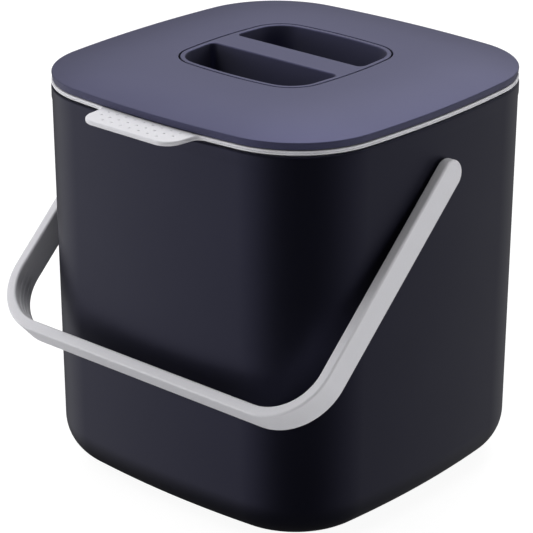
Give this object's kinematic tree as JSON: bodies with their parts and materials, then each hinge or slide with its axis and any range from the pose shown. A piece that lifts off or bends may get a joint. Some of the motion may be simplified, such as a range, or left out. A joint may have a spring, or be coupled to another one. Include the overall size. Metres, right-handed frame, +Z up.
{
  "type": "kitchen compost bin",
  "caption": "Worktop compost bin with a swinging bail, a lift-out inner bucket with a thumb tab, and a domed lid with a pull-out grip insert over a charcoal filter.",
  "frame": {"origin": "centre of the base, level with the undersides of the feet", "axes": "+Z up, -Y to the front where the thumb tab is, X along the bail's pivots"},
  "size_m": [0.2046, 0.209, 0.2101],
  "materials": {
    "navy_plastic": "fine matt moulded polypropylene, dark slate navy",
    "navy_lid_plastic": "fine matt moulded polypropylene, dark slate navy",
    "light_grey_plastic": "satin moulded polypropylene, light grey",
    "grey_silicone": "soft matt silicone",
    "foot_rubber": "matt black thermoplastic rubber",
    "charcoal_felt": "carbon-filled felt pad"
  },
  "bodies": {
    "outer": {"outer_bucket": "navy_plastic", "foot_pad_front_left": "foot_rubber", "foot_pad_front_right": "foot_rubber", "foot_pad_back_left": "foot_rubber", "foot_pad_back_right": "foot_rubber"},
    "bail": {"carry_handle": "light_grey_plastic"},
    "inner": {"inner_bucket": "light_grey_plastic"},
    "lid": {"lid_shell": "navy_lid_plastic", "lid_liner": "navy_lid_plastic", "lid_seal": "grey_silicone"},
    "insert": {"grip_insert": "navy_lid_plastic", "filter_tray": "navy_lid_plastic", "charcoal_filter": "charcoal_felt"}
  },
  "joints": [
    {"name": "bail_swing", "type": "hinge", "parent": "outer", "child": "bail", "pos_m": [0, 0, 0.1725], "axis": [-1, 0, 0], "range_deg": [0, 265.5]},
    {"name": "bucket_lift", "type": "slide", "parent": "outer", "child": "inner", "axis": [0, 0, 1], "range_m": [0, 0.2]},
    {"name": "lid_lift", "type": "slide", "parent": "inner", "child": "lid", "axis": [0, 0, 1], "range_m": [0, 0.04]},
    {"name": "insert_lift", "type": "slide", "parent": "lid", "child": "insert", "axis": [0, 0, 1], "range_m": [0, 0.04]}
  ]
}
